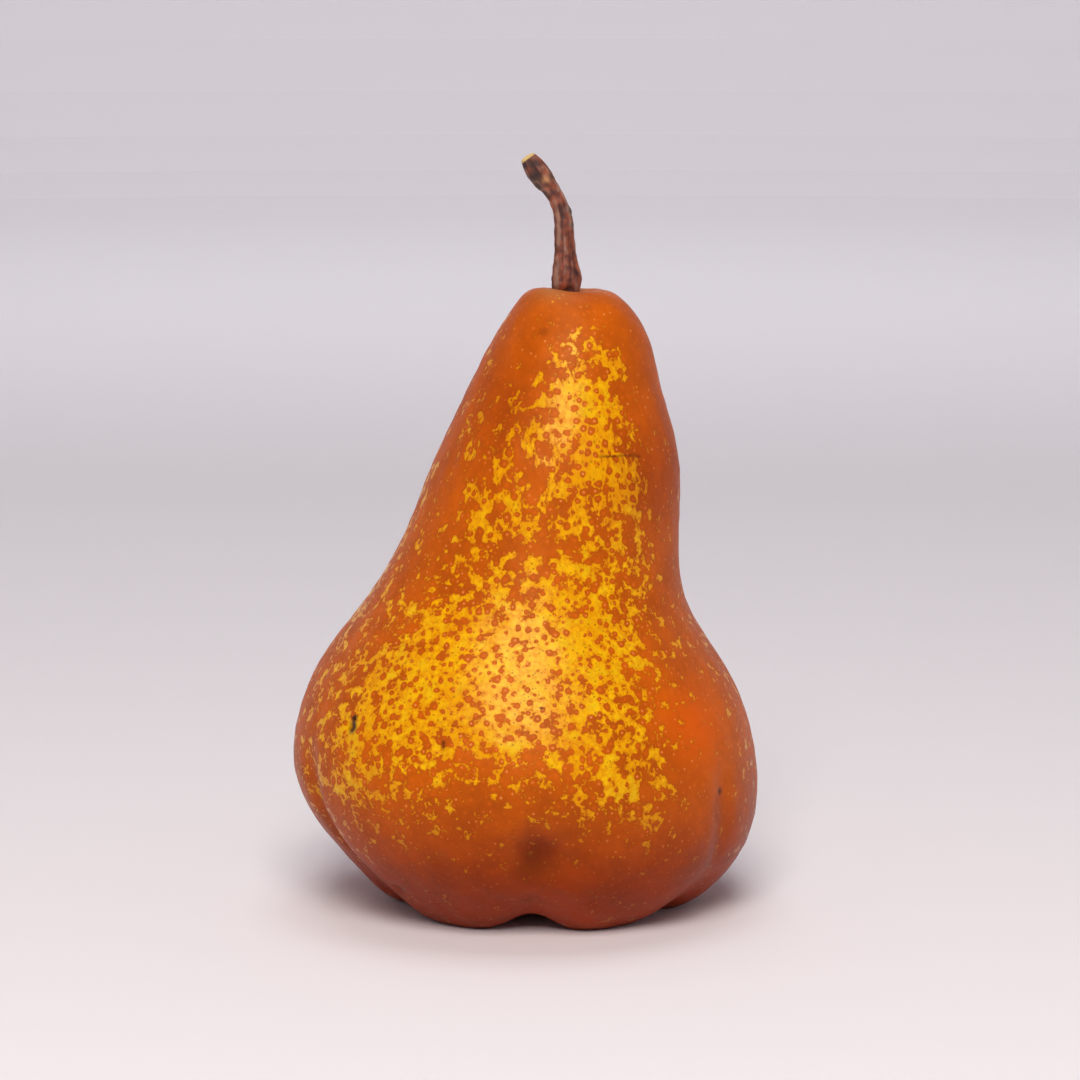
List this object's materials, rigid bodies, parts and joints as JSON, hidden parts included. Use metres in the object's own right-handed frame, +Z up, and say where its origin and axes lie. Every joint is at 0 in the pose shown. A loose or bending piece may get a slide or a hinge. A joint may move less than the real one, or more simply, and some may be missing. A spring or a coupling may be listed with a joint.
{
  "type": "pear",
  "caption": "Whole russeted pear standing on its lobed calyx end, with a long leaning neck, a woody bent stem and a dried calyx in the basin underneath.",
  "frame": {"origin": "on the resting plane, at the middle of the pear's bounding box seen from above", "axes": "+Z up, from the calyx end towards the stem; -Y is the front, with the deepest furrow; the neck leans to +X"},
  "size_m": [0.0759, 0.0729, 0.122],
  "materials": {
    "russet_skin": "satin",
    "stem_bark": "matte",
    "dried_calyx": "matte"
  },
  "bodies": {
    "root": {"fruit": "russet_skin", "stem": "stem_bark", "sepal_1": "dried_calyx", "sepal_2": "dried_calyx", "sepal_3": "dried_calyx", "sepal_4": "dried_calyx", "sepal_5": "dried_calyx", "stamen_tuft": "dried_calyx"}
  },
  "joints": []
}
